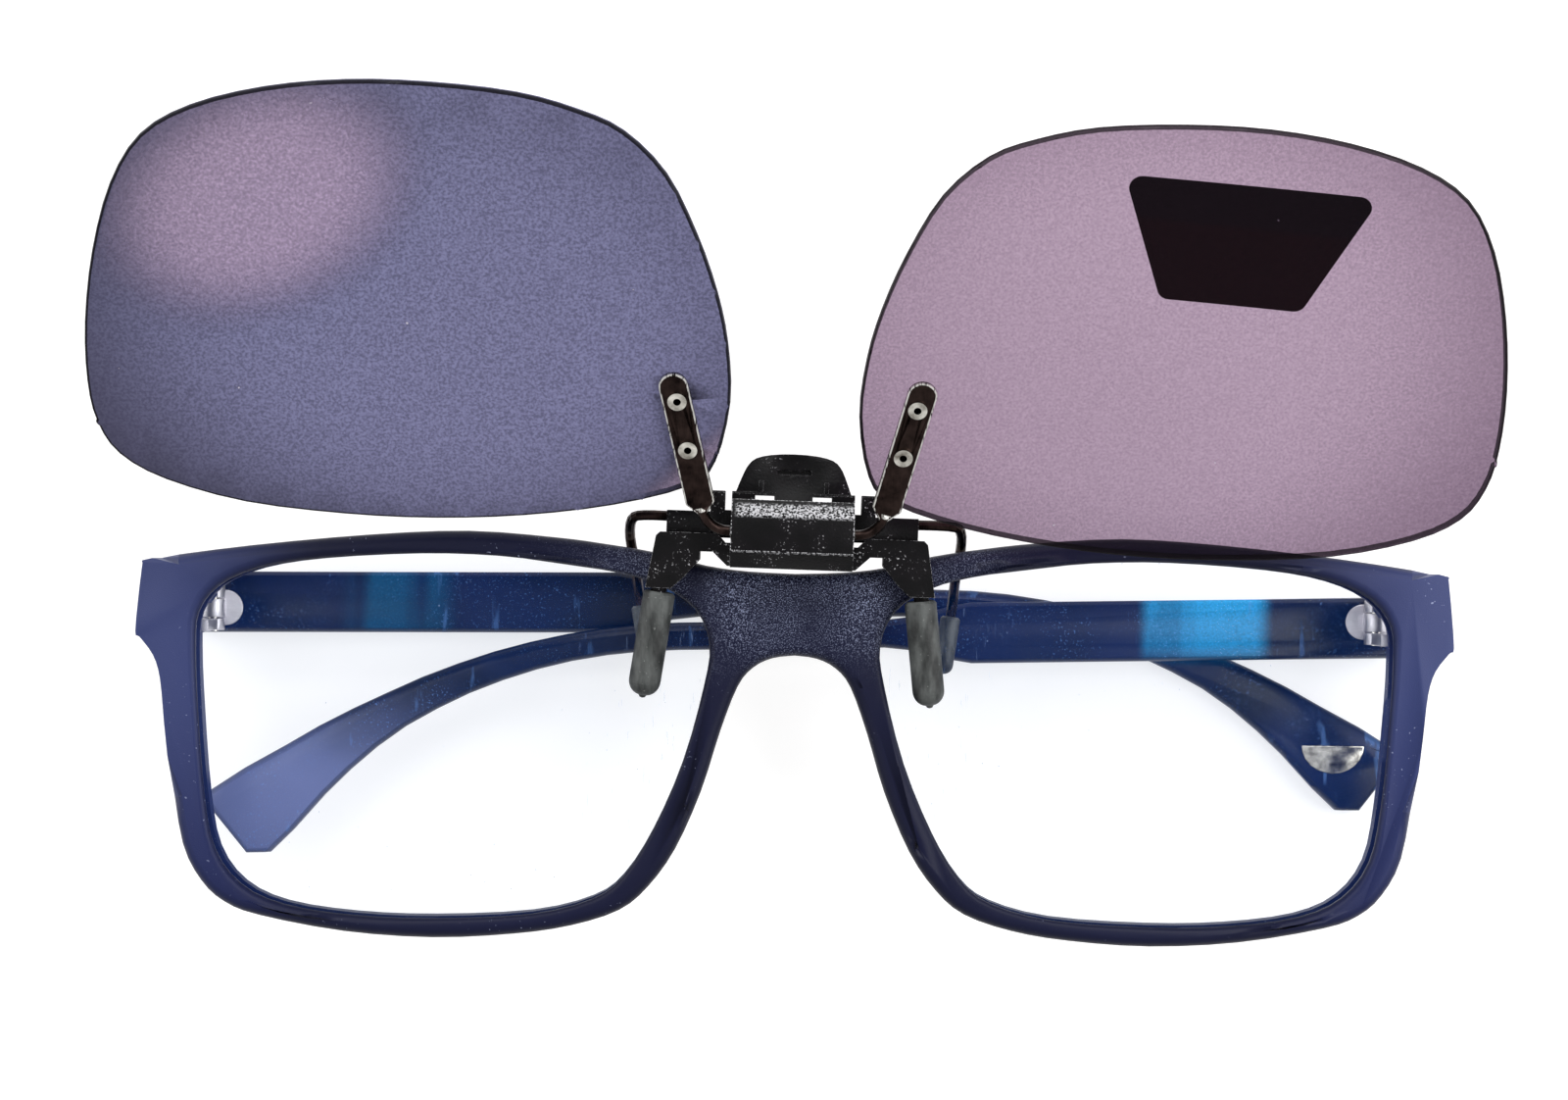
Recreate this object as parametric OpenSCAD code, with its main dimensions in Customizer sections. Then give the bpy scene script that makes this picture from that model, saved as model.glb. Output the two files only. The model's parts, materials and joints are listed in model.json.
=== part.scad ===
// Plastic reading glasses lying face up on their folded temples, with a flip-up sun clip on the bridge.
// X runs along the front, Y from the lower rims to the brow, Z up from the table to the viewer.

/* [Front] */
// width of a lens opening
lens_w = 54.6; // [50:0.1:60]
// gap between the two lens openings over the nose
bridge_w = 17.8; // [15:0.1:21]
// depth of the rims below the middle of the bridge
lens_drop = 36; // [32:0.1:42]
// height of the outer corners of the front face over the table
corner_z = 14.12558; // [12:0.00001:18]
// thickness of the front, front to back
front_t = 4; // [3:0.1:5]
// radius of the face form curve
face_r = 420; // [300:10:800]
// how deep the lens sits in its groove
groove_depth = 0.6; // [0.4:0.05:1]
// thickness of a clear lens
lens_t = 1.6; // [1.2:0.1:2.2]
// base curve radius of a clear lens
lens_r = 180; // [120:5:300]
// how far the lens edge sits behind the front face
lens_set = 0.6; // [0.3:0.1:1.2]

/* [Hinges] */
// how far each hinge pin sits inside the outer edge of the lens opening
pin_in = 0.1; // [-1:0.1:2]
// height of the hinge centre along Y
hinge_y = -2; // [-5:0.1:2]
// height of the inner faces of the folded temples over the table
temple_z = 5; // [4.5:0.1:8]
// distance from a temple's inner face to its hinge pin
pin_lift = 1.5; // [1.3:0.05:2]
// radius of the hinge knuckles
knuckle_r = 1.2; // [1:0.05:1.4]
// radius of the hinge screw shank
screw_r = 0.6; // [0.5:0.05:0.7]
// running clearance round the screw
screw_gap = 0.04; // [0.02:0.01:0.1]
// height of a temple's own knuckle
mid_knuckle = 2; // [1.6:0.1:2.6]
// height of all three knuckles together
hinge_h = 4.8; // [4:0.1:5.6]
// running clearance between one knuckle and the next
knuckle_gap = 0.12; // [0.05:0.01:0.2]

/* [Temples] */
// height of the front half of a temple
temple_h = 6.65; // [5:0.05:9]
// height of the slim middle of a temple
neck_h = 3; // [2.6:0.1:5]
// thickness of the blade
blade_t = 2.5; // [2.2:0.1:4]
// thickness of the knee at the hinge
knee_t = 4.88; // [4:0.02:5]
// length from the hinge pin to the butt end
butt_len = 3.5; // [3:0.1:4]
// length of the ear bend along its curve
bend_len = 44; // [35:1:60]
// angle through which the ear bend turns
bend_turn = 38; // [25:1:50]
// length from the start of the bend to the end of the tip
tip_len = 54.5; // [45:0.5:65]
// start of the bend on the left temple, from the pin
bend_left = 79; // [70:0.5:90]
// start of the bend on the right temple, from the pin
bend_right = 76; // [70:0.5:90]
// upward lean of the left temple when folded
lean_left = 0.6; // [-3:0.1:3]
// upward lean of the right temple when folded
lean_right = -1.35; // [-3:0.05:3]
// offset of the left temple from its hinge centre
offset_left = 0.6; // [-1:0.1:1]
// offset of the right temple from its hinge centre
offset_right = -0.7; // [-1:0.1:1]
// how far the left temple stands open, resting on the table
rest_left = 1.28; // [0:0.02:5]
// how far the right temple is folded past square
rest_right = -1.5; // [-3:0.1:1]
// how far past square the open temple may spring
over_open = 8.5; // [2:0.5:15]

/* [Clip] */
// sideways place of the clip
clip_x = -0.42; // [-3:0.01:3]
// height of the flip axis along Y
flip_y = 6.82; // [5:0.01:9]
// height of the flip axis over the middle of the front face
flip_over = 5; // [4:0.1:7]
// turn of the clip on the bridge, as it was put on
clip_skew = -1.4; // [-4:0.1:4]
// width of the clip's centre block
block_w = 12.5; // [9:0.1:16]
// distance of a front leg from the side of the block
leg_out = 7.2; // [6:0.1:9]
// length of a front leg
leg_len = 9.3; // [7:0.1:12]
// radius of the flip shaft
shaft_r = 0.55; // [0.4:0.05:0.8]
// running clearance round the flip shaft
shaft_gap = 0.05; // [0.02:0.01:0.1]
// radius of a front rubber sleeve
sleeve_r = 1.65; // [1.3:0.05:2]
// outward lean of the front legs
leg_lean = 7.5; // [0:0.5:15]
// radius of the rear wire
wire_r = 0.55; // [0.4:0.05:0.8]
// distance of the left rear wire's bend from the middle of the clip
rear_out_left = 17.1; // [15:0.1:20]
// distance of the right rear wire's bend from the middle of the clip
rear_out_right = 17.9; // [15:0.1:20]
// radius of a rear rubber tip
tip_r = 1.05; // [0.8:0.05:1.4]
// height of the jaw pin over the flip axis along Y
jaw_y = 1.6; // [1:0.1:2.5]
// depth of the jaw pin behind the flip axis
jaw_z = -6.4; // [-8:0.1:-6]
// radius of the jaw pin
jaw_r = 0.5; // [0.4:0.05:0.7]
// running clearance round the jaw pin
jaw_gap = 0.04; // [0.02:0.01:0.1]

/* [Sun lenses] */
// width of a sun lens
sun_w = 62.55; // [56:0.05:68]
// height of a sun lens
sun_h = 47; // [42:0.1:52]
// angle of the raised sun lenses over the front
flip_up = 31; // [0:1:60]
// thickness of a sun lens
sun_t = 0.85; // [0.6:0.05:1.2]
// radius of the sun lens curve
sun_r = 420; // [200:10:900]
// shift of the left sun lens along its arms
sun_left = 0.7; // [-2:0.1:2]
// shift of the right sun lens along its arms
sun_right = -0.5; // [-2:0.1:2]
// how far the right sun lens sits in towards the block
sun_in = 0.5; // [0:0.1:1]
// tilt of the left sun lens on its arm
tilt_left = 1.7; // [-3:0.1:3]
// tilt of the right sun lens on its arm
tilt_right = 1; // [-3:0.1:3]
// radius of a rivet's head
rivet_head = 0.95; // [0.8:0.05:1.2]
// radius of a rivet's shank
rivet_r = 0.58; // [0.4:0.02:0.7]
// thickness of an arm strip
arm_t = 0.6; // [0.4:0.05:1]
// width of an arm strip
arm_w = 3; // [2:0.1:4]

/* [Hidden] */
navy = [0.16, 0.18, 0.36];
navy_dark = [0.08, 0.09, 0.22];
clear_c = [0.85, 0.93, 0.98, 0.3];
smoke = [0.42, 0.38, 0.55, 0.75];
steel = [0.75, 0.75, 0.76];
gun = [0.25, 0.24, 0.24];
black = [0.07, 0.07, 0.08];
rubber = [0.22, 0.23, 0.22];
front_half = bridge_w / 2 + lens_w + 6.5;
front_z = corner_z + face_r - sqrt(pow(face_r, 2) - pow(front_half, 2));
flip_z = front_z + flip_over;
pin_x = bridge_w / 2 + lens_w - pin_in;
pin_z = temple_z + pin_lift;
butt_z = pin_z + butt_len * cos(over_open) + pin_lift * sin(over_open) + 0.1;
bend_r = bend_len / (bend_turn * PI / 180);
bore_r = screw_r + screw_gap;
half_w = block_w / 2;
// width of a hinge leaf and how far it is sunk in the front
leaf_w = 1.2;
leaf_in = 1.5;
// bottom of the end piece along Y and its height
end_low = -4.55;
end_h = 7.4;
// room taken at each side where one piece is let into another
seat_gap = 0.02;
// depth at which the inlay and the hinge plates are let into a temple
inlay_in = 0.4;
plate_in = 0.5;
// lowest point of the front and furthest point of the sun lenses from the flip axis
front_low = 0.03 - lens_drop;
sun_reach = sun_h + 0.89;
// middle of the whole outline along Y, from the lower rims to the raised lenses
middle_y = (flip_y + sun_reach * cos(flip_up) + front_low) / 2;

// an outline drawn for a bridge 17.8 wide, lenses 54.6 wide and rims 36 deep, put to the set sizes
function fitted(p) = [
  for (q = p)
    let (x = q[0], out = x - 8.9)
      [
        out < 0 ? x * bridge_w / 17.8 : bridge_w / 2 + min(out, 54.6) * lens_w / 54.6 + max(out - 54.6, 0),
        q[1] < 0 ? q[1] * lens_drop / 36 : q[1]
      ]
];

// outline of the right half of the front from the bridge top round to the nose arch
top_edge = fitted([
  [0, 2.6], [5, 2.8], [9.4, 3.35], [14.4, 4.6], [20, 5.5], [25.5, 6.15], [34.3, 6.7],
  [44.5, 6.2], [57.5, 4.9], [68.2, 3.4], [69.3, 2.9]
]);
side_edge = fitted([
  [69.6, 0.3], [70, -4.4], [69.5, -5], [68, -6.9], [67.2, -9.4], [66.7, -14], [66, -19.5],
  [64.7, -26.8], [62.6, -30.7], [60, -32.9], [56.2, -34.2], [47.1, -35.6], [37.6, -36],
  [29, -35.4], [23, -34.4], [18, -32.7], [15, -30.2], [12.2, -26.2], [9.6, -20.2],
  [7.7, -14], [5.9, -9.2], [4.3, -7.2], [2.3, -6.2], [0, -5.9]
]);
// outline of the right lens opening
opening = fitted([
  [8.9, -4.8], [9.4, -9.1], [11.5, -17], [14.55, -24.2], [17.6, -29.1], [20.8, -31.5],
  [27.2, -33.2], [37.5, -33.9], [46, -33.8], [53.5, -32.9], [58.2, -30.9], [61.1, -27.2],
  [62.3, -21.5], [63.1, -13], [63.5, -6], [63.2, -2.2], [61, 0.6], [56.6, 2.5],
  [50, 3.6], [39.5, 4.25], [31, 4.1], [24, 3.3], [18.5, 2.5], [14, 1.2], [10.4, -1.2]
]);
// outline of the right sun lens from the foot of its arm, drawn 62.55 wide and 47 high
sun_outline = [
  for (q = [
    [0.58, 14], [1.13, 20.5], [2.43, 26], [4.63, 32], [7.73, 38.1], [11.83, 42.2], [16.13, 44.1],
    [21.83, 45.5], [29.83, 46.1], [37.43, 46], [44.83, 45], [51.53, 43], [56.23, 40],
    [59.33, 35], [61.53, 28], [62.83, 20.5], [63.13, 14], [62.53, 9.5], [60.63, 5.9], [56.33, 3],
    [48.63, 0.5], [38.83, -0.7], [29.83, -0.9], [20.83, -0.2], [11.83, 1.5], [4.23, 4.2],
    [1.73, 7.2]
  ])
    [q[0] * sun_w / 62.55, q[1] * sun_h / 47]
];

// a smooth curve through four points, the middle two being its ends
function spline(a, b, c, d, t) =
  0.5 * (2 * b + (c - a) * t + (2 * a - 5 * b + 4 * c - d) * t * t
  + (3 * b - a - 3 * c + d) * t * t * t);
// a closed smooth outline through the points
function closed(p, n = 3) = [
  for (i = [0 : len(p) - 1], k = [0 : n - 1])
    spline(p[(i + len(p) - 1) % len(p)], p[i], p[(i + 1) % len(p)], p[(i + 2) % len(p)], k / n)
];
// an open smooth outline through the points
function open(p, n = 3) = [
  for (i = [0 : len(p) - 2], k = [0 : n - 1])
    spline(p[max(i - 1, 0)], p[i], p[i + 1], p[min(i + 2, len(p) - 1)], k / n),
  p[len(p) - 1]
];
function unit(v) = v / norm(v);
// the closed outline moved outward by d
function grown(p, d) = [
  for (i = [0 : len(p) - 1])
    let (t = unit(p[(i + 1) % len(p)] - p[(i + len(p) - 1) % len(p)])) p[i] + d * [-t[1], t[0]] * -1
];
function half_front() = concat(open(top_edge), open(side_edge));
function front_outline() = concat(
  half_front(),
  [for (i = [len(half_front()) - 2 : -1 : 1]) [-half_front()[i][0], half_front()[i][1]]]
);

// puts a piece, drawn from the middle of the bridge, over the middle of the whole outline
module seat() {
  translate([0, -middle_y, 0])
    children();
}

// keeps a piece drawn on the right there for 1, or mirrors it to the left for -1
module on_side(side) {
  mirror([side < 0 ? 1 : 0, 0, 0])
    children();
}

// a shell of thickness t behind a sphere of radius r round c
module sphere_shell(c, r, t) {
  translate(c)
    difference() {
      sphere(r = r, $fn = 180);
      sphere(r = r - t, $fn = 180);
    }
}

// a round bar from a to b, with a ball over each end where it meets the next
module rod(a, b, r, ends = true) {
  v = b - a;
  translate(a)
    rotate([0, acos(v[2] / norm(v)), atan2(v[1], v[0])])
      cylinder(r = r, h = norm(v), $fn = 32);
  if (ends)
    for (p = [a, b])
      translate(p)
        sphere(r = r + 0.02, $fn = 32);
}

// the curved slab that the front is cut from
module front_slab() {
  translate([0, 0, front_z - face_r])
    rotate([90, 0, 0])
      difference() {
        cylinder(r = face_r, h = 3 * lens_drop, center = true, $fn = 360);
        cylinder(r = face_r - front_t, h = 4 * lens_drop, center = true, $fn = 360);
      }
}

// middle of the right lens opening, and of the sphere that its clear lens lies on
lens_mid = [(bridge_w + lens_w) / 2 - 0.4, 3.2 - lens_drop / 2];
lens_lean = asin(lens_mid[0] / face_r);
lens_cx = lens_mid[0] - lens_r * sin(lens_lean);
lens_c = [
  lens_cx, lens_mid[1],
  front_z - lens_set - 0.15 - sqrt(pow(lens_r, 2) - pow(bridge_w / 2 + 0.1 - lens_cx, 2))
];

module clear_lens(side) {
  color(clear_c)
    seat()
      on_side(side)
        intersection() {
          translate([0, 0, 5])
            linear_extrude(20)
              polygon(grown(closed(opening), groove_depth));
          sphere_shell(lens_c, lens_r, lens_t);
        }
}

module lens_groove() {
  intersection() {
    translate([0, 0, 5])
      linear_extrude(20)
        polygon(grown(closed(opening), groove_depth + 0.05));
    sphere_shell(lens_c, lens_r + 0.03, lens_t + 0.06);
  }
}

// block behind the corner of the front that carries the hinge
module end_piece() {
  translate([0, end_low + end_h, 0])
    rotate([90, 0, 0])
      linear_extrude(end_h)
        polygon([
          [pin_x - 1.2, butt_z], [pin_x + pin_lift + 5, butt_z], [pin_x + 6.1, front_z - 6.5],
          [pin_x + 3.6, front_z - 5.8], [pin_x + 1, front_z - 6.8]
        ]);
}

module leaf_pocket() {
  translate([pin_x - leaf_w / 2, hinge_y - hinge_h / 2, butt_z - 1])
    cube([leaf_w, hinge_h, leaf_in + 1 + seat_gap]);
}

// height of the back of a nose pad over the table
pad_back = front_z - 8.5;

// moulded pad on the back of the rim beside the nose
module nose_pad() {
  difference() {
    translate([0, 0, pad_back])
      linear_extrude(6)
        polygon(fitted([
          [6.9, -8.6], [9.2, -8.9], [11.3, -16.4], [12.2, -18.6], [10.3, -19.3], [9.3, -18.6],
          [7.6, -13.6]
        ]));
    translate([bridge_w / 2 - 0.9, -14 * lens_drop / 36, pad_back])
      rotate([0, 32, 18])
        translate([-8, -20, -6.4])
          cube([16, 40, 6]);
  }
}

module front_frame() {
  color(navy)
    seat()
      difference() {
        union() {
          intersection() {
            translate([0, 0, 5])
              linear_extrude(20)
                polygon(front_outline());
            front_slab();
          }
          for (s = [-1, 1])
            on_side(s) {
              end_piece();
              nose_pad();
            }
        }
        for (s = [-1, 1])
          on_side(s) {
            translate([0, 0, 4])
              linear_extrude(22)
                polygon(closed(opening));
            lens_groove();
            leaf_pocket();
            // flat face that the open temple butts against
            translate([pin_x - 2.4, -9, butt_z - 6])
              cube([10, 13, 6]);
          }
      }
}

module hinge_leaf(side) {
  h = (hinge_h - mid_knuckle) / 2 - knuckle_gap;
  color(steel)
    seat()
      on_side(side)
        difference() {
          for (k = [-1, 1])
            translate([pin_x, hinge_y + k * (hinge_h + mid_knuckle + 2 * knuckle_gap) / 4, 0]) {
              translate([0, 0, pin_z])
                rotate([90, 0, 0])
                  cylinder(r = knuckle_r, h = h, center = true, $fn = 48);
              translate([-leaf_w / 2, -h / 2, pin_z])
                cube([leaf_w, h, butt_z + leaf_in - pin_z]);
            }
          translate([pin_x, hinge_y, pin_z])
            rotate([90, 0, 0])
              cylinder(r = bore_r, h = 12, center = true, $fn = 48);
        }
}

module hinge_screw(side) {
  head_h = 0.45;
  color(steel)
    seat()
      on_side(side)
        translate([pin_x, hinge_y, pin_z])
          rotate([-90, 0, 0])
            difference() {
              union() {
                translate([0, 0, -hinge_h / 2 - 0.1])
                  cylinder(r = screw_r, h = hinge_h + 0.1, $fn = 48);
                translate([0, 0, hinge_h / 2])
                  cylinder(r = 1, h = head_h, $fn = 48);
              }
              // slot for the screwdriver
              translate([-1.2, -0.12, hinge_h / 2 + head_h / 2])
                cube([2.4, 0.24, 1]);
            }
}

// direction and place of a temple's centre line at length s from the pin, before it leans
function bend_a(s, b) = s < b ? 0 : min((s - b) / bend_len, 1) * bend_turn;
function centre(s, b) =
  let (a = bend_a(s, b), rest = max(s - b - bend_len, 0))
  s < b ? [s, 0] : [b + bend_r * sin(a) + rest * cos(a), -bend_r * (1 - cos(a)) - rest * sin(a)];
function half_h(s, b) = lookup(s, [
  [-4, temple_h / 2], [44, temple_h / 2], [46.5, temple_h / 2 - 0.45], [50, neck_h / 2 + 0.4],
  [53.5, neck_h / 2], [b + 14, neck_h / 2], [b + 24, 1.75], [b + 33, 2.15], [b + 38, 2.7],
  [b + 44, 3.45], [b + 49, 4.3], [b + 60, 5.4]
]);
// thickness of a temple, full at the knee and again where the tip lies on the table
function thick(s, b) = lookup(s, [
  [-4, knee_t], [3, knee_t], [8, 3.3], [12.5, blade_t], [53, blade_t], [b + 10, 2.2], [b + 35, 2.2],
  [b + 39, tip_depth(centre(b + 39, b)[0])]
]);
// depth at which the folded left temple's outer face lies on the table, x from the pin
function tip_depth(x) = pin_z / cos(rest_left) - x * tan(rest_left) - pin_lift;
// height of the wide bevel on the upper inner edge
function bevel(s, b) = lookup(s, [
  [0, 0.4], [45, 0.4], [54, 0.7], [b + 24, 1.1], [b + 33, 1.3], [b + 44, 2.1]
]);
// eight points round a temple at length s
function ring(s, b, lean) =
  let (
    a = bend_a(s, b), c = centre(s, b), h = half_h(s, b), t = thick(s, b), u = bevel(s, b),
    o = s < 20 || s > b + 36 ? 0.7 : 0.9,
    end = s == -butt_len ? tan(over_open) : 0,
    p = [
      [h - u, 0], [h, -0.35 - u * 0.2], [h, -t + 0.7], [h - o, -t],
      [-h + o, -t], [-h, -t + 0.7], [-h, -0.35], [-h + 0.5, 0]
    ]
  )
  [for (q = p)
    let (
      x0 = c[0] + q[0] * sin(a) - q[1] * end, y0 = c[1] + q[0] * cos(a),
      x = x0 * cos(lean) - y0 * sin(lean), y = x0 * sin(lean) + y0 * cos(lean)
    )
      [x, y, s > b + 38 ? (q[1] == -t ? -tip_depth(x) : q[1]) : q[1]]];

module loft(r) {
  m = len(r);
  n = len(r[0]);
  polyhedron(
    points = [for (k = r) each k],
    faces = concat(
      [for (i = [1 : n - 2]) [0, i, i + 1]],
      [for (i = [1 : n - 2]) [(m - 1) * n, (m - 1) * n + i + 1, (m - 1) * n + i]],
      [for (k = [0 : m - 2], i = [0 : n - 1]) [k * n + i, (k + 1) * n + i, (k + 1) * n + (i + 1) % n]],
      [for (k = [0 : m - 2], i = [0 : n - 1]) [k * n + i, (k + 1) * n + (i + 1) % n, k * n + (i + 1) % n]]
    )
  );
}

// puts a temple part, drawn from the pin with its length along X, in its folded place
module folded(side, rest) {
  seat()
    on_side(side)
      translate([pin_x, hinge_y, pin_z])
        rotate([0, 180 - rest, 0])
          mirror([0, 0, 1])
            translate([0, 0, -pin_lift])
              children();
}

// a round wire along the path; its sides are set out from the direction ref
module tube(path, r, sides, ref) {
  n = len(path);
  loft([
    for (i = [0 : n - 1])
      let (
        t = unit(path[min(i + 1, n - 1)] - path[max(i - 1, 0)]),
        u = unit(cross(t, ref)),
        v = cross(t, u)
      )
        [for (k = [0 : sides - 1]) path[i] + r * (cos(k * 360 / sides) * u + sin(k * 360 / sides) * v)]
  ]);
}

module plate_outline(grow = 0) {
  translate([0.95, 0])
    circle(r = 1.95 + grow, $fn = 64);
  translate([-2.8 - grow, -1.95 - grow])
    square([3.75 + grow, 3.9 + 2 * grow]);
}

module temple(side, b, lean, offset, rest) {
  stations = concat(
    [-butt_len, -2.2, 3, 8, 12.5, 28, 44, 46.5, 50, 53.5, 66],
    [for (k = [0 : 11]) b + k * 4],
    [b + tip_len - 5.5, b + tip_len]
  );
  low = centre(b + tip_len, b)[1] - 2.4;
  color(navy_dark)
    folded(side, rest)
      difference() {
        translate([0, offset, 0])
          difference() {
            loft([for (s = stations) ring(s, b, lean)]);
            rotate([0, 0, lean])
              translate([b + 30, low - 10, -9])
                cube([60, 10, 12]);
          }
        translate([0, 0, -plate_in])
          linear_extrude(1)
            plate_outline(seat_gap);
      }
}

module temple_plate(side, rest) {
  color(steel)
    folded(side, rest)
      difference() {
        union() {
          translate([0, 0, -plate_in])
            linear_extrude(plate_in + 0.02)
              plate_outline();
          translate([-0.95, -mid_knuckle / 2, 0])
            cube([1.9, mid_knuckle, pin_lift]);
          translate([0, 0, pin_lift])
            rotate([90, 0, 0])
              cylinder(r = knuckle_r, h = mid_knuckle, center = true, $fn = 48);
        }
        translate([0, 0, pin_lift])
          rotate([90, 0, 0])
            cylinder(r = bore_r, h = 12, center = true, $fn = 48);
      }
}

// distance of the inlay's middle from the end of the tip
inlay_back = 6.3;
// half round metal inlay in the tip of the left temple
function inlay_shape(g = 0) = [
  [-3.5 - g, 1.25 + g], [3.5 + g, 1.25 + g],
  for (k = [1 : 11]) [(3.5 + g) * cos(k * 15), 1.25 - (3.1 + g) * sin(k * 15)]
];
inlay_at = centre(bend_left + tip_len - inlay_back, bend_left);

module inlay_place() {
  folded(-1, rest_left)
    translate([0, offset_left, 0])
      rotate([0, 0, lean_left])
        translate([inlay_at[0], inlay_at[1] - 0.3, 0])
          rotate([0, 0, -0.6])
            children();
}

module temple_left() {
  color(navy_dark)
    difference() {
      temple(-1, bend_left, lean_left, offset_left, rest_left);
      inlay_place()
        translate([0, 0, -inlay_in])
          linear_extrude(1)
            polygon(inlay_shape(seat_gap));
    }
}

module temple_inlay() {
  color(steel)
    inlay_place()
      translate([0, 0, -inlay_in])
        linear_extrude(inlay_in + 0.05)
          polygon(inlay_shape());
}

// everything on the clip is drawn from the middle of the flip axis
module clip() {
  translate([clip_x, flip_y - middle_y, flip_z])
    rotate([0, 0, clip_skew])
      children();
}

// front and back of the centre block and the plane where its lower lip joins it
block_front = 1.9;
block_back = -4.4;
lip_y = -2;
// sideways place of each lug of the jaw pin and its thickness
lug_x = 3;
lug_w = 1.6;

module clip_housing() {
  color(black)
    clip()
      difference() {
        union() {
          rotate([90, 0, 90])
            linear_extrude(block_w, center = true)
              polygon([
                [lip_y, block_back], [3.3, block_back], [3.3, 0.2], [1.8, block_front],
                [lip_y, block_front]
              ]);
          // lugs that carry the jaw pin
          for (k = [-lug_x, lug_x])
            translate([k, 0, 0])
              rotate([90, 0, 90])
                linear_extrude(lug_w, center = true)
                  polygon([
                    [jaw_y - 1.3, jaw_z - 0.4], [jaw_y - 0.7, jaw_z - 1.2], [jaw_y + 0.7, jaw_z - 1.2],
                    [jaw_y + 1.3, jaw_z - 0.4], [jaw_y + 1.3, block_back + 0.1],
                    [jaw_y - 1.3, block_back + 0.1]
                  ]);
        }
        rotate([0, 90, 0])
          cylinder(r = shaft_r + shaft_gap, h = block_w + 2, center = true, $fn = 48);
        // room for the shaft's cam and the spring under it
        translate([-1.8, -1.2, -1.6])
          cube([3.6, 2.4, 2.8]);
        translate([0, jaw_y, jaw_z])
          rotate([0, 90, 0])
            cylinder(r = jaw_r, h = 12, center = true, $fn = 48);
      }
}

// ends of the right front leg and the radius of its core
leg_top = [half_w + leg_out, -6.5, -3.3];
leg_end = leg_top + leg_len * [tan(leg_lean), -1, -0.06];
leg_r = 0.8;

module clip_bracket() {
  color(black)
    clip() {
      rotate([90, 0, 90])
        linear_extrude(block_w, center = true)
          polygon([
            [-3.7, block_back], [lip_y, block_back], [lip_y, block_front], [lip_y - 0.1, block_front],
            [-3.7, 0.2]
          ]);
      for (s = [-1, 1])
        on_side(s) {
          translate([half_w, 0, block_back - 0.2])
            linear_extrude(2.3)
              polygon([
                [-0.25, -3.6], [-0.25, lip_y], [0, lip_y], [0, -1.2], [0.6, -1.2], [1.5, -0.3],
                [leg_out + 0.15, -0.3], [leg_out + 0.55, -0.7], [leg_out + 1.45, -6.1],
                [leg_out - 1.15, -6.1], [4.85, -5], [3.15, -3], [3.15, -2.2], [1.85, -2.2], [0.35, -3.6]
              ]);
          rod(leg_top + [0, 1.2, 0], leg_end, leg_r);
        }
    }
}

// rubber sleeve from a towards b, with a round nose past b and a nib on the nose
module sleeve(a, b, r, nose, nib) {
  v = b - a;
  l = norm(v) - 0.1;
  translate(a)
    rotate([0, acos(v[2] / norm(v)), atan2(v[1], v[0])])
      rotate_extrude($fn = 64)
        polygon(concat(
          [[0, 0], [r - 0.25, 0], [r, 0.25]],
          [for (k = [0 : 7]) [nib + (r - nib) * cos(k * 12), l + nose * sin(k * 12)]],
          [[nib, l + nose + nib * 0.8], [0, l + nose + nib * 1.1]]
        ));
}

module front_sleeve(side) {
  color(rubber)
    clip()
      on_side(side)
        difference() {
          sleeve(leg_top, leg_end, sleeve_r, 1.55, 0.28);
          rod(leg_top + [0, 1.2, 0], leg_end, leg_r);
        }
}

module flip_shaft() {
  color(gun)
    clip() {
      rotate([0, 90, 0])
        cylinder(r = shaft_r, h = block_w - 0.2, center = true, $fn = 48);
      rotate([flip_up, 0, 0])
        translate([-1.5, -0.62, -0.62])
          cube([3, 1.24, 1.24]);
    }
}

module detent_spring() {
  color(steel)
    clip()
      translate([-1.7, -1.15, -1.3])
        cube([3.4, 2.3, 0.25]);
}

// how far the middle of a sun lens dips behind its arm
arm_seat = 0.12;
// foot of the right arm on the flip axis, ends of its strip and its two rivets
arm_x = half_w - 0.08;
arm_end = [arm_x + 3.28, 3.6];
arm_top = [arm_x + 6.08, 16.45];
rivets = [[arm_x + 4.58, 9.55], [arm_x + 5.7, 14.95]];

module flip() {
  clip()
    rotate([flip_up, 0, 0])
      children();
}

module flip_arm(side) {
  v = arm_top - arm_end;
  bend = [
    for (p = [[0, 0, 0], [0.93, 0.05, 0], [1.93, 0.55, 0.05], [2.73, 1.5, 0.15], [3.13, 2.7, 0.25]])
      p + [arm_x, 0, 0]
  ];
  color(gun)
    flip()
      on_side(side) {
        difference() {
          translate(arm_end)
            rotate(atan2(v[1], v[0]))
              linear_extrude(arm_t)
                polygon(concat(
                  [[-1.5, 0.45], [-1.5, -0.45], [-0.2, -arm_w / 2]],
                  [for (k = [-6 : 6]) [norm(v) + arm_w / 2 * cos(k * 15), arm_w / 2 * sin(k * 15)]],
                  [[-0.2, arm_w / 2]]
                ));
          for (p = rivets)
            translate([p[0], p[1], -1])
              cylinder(r = rivet_r + seat_gap, h = 3, $fn = 32);
        }
        tube(open(bend), shaft_r, 12, [0, 0, 1]);
      }
}

// curved shell that a sun lens is cut from, from radius sun_r + a to sun_r + b
module sun_shell(a, b) {
  translate([(rivets[0][0] + rivets[1][0]) / 2, (rivets[0][1] + rivets[1][1]) / 2, sun_r - arm_seat])
    difference() {
      sphere(r = sun_r + b, $fn = 180);
      sphere(r = sun_r + a, $fn = 180);
    }
}

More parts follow.
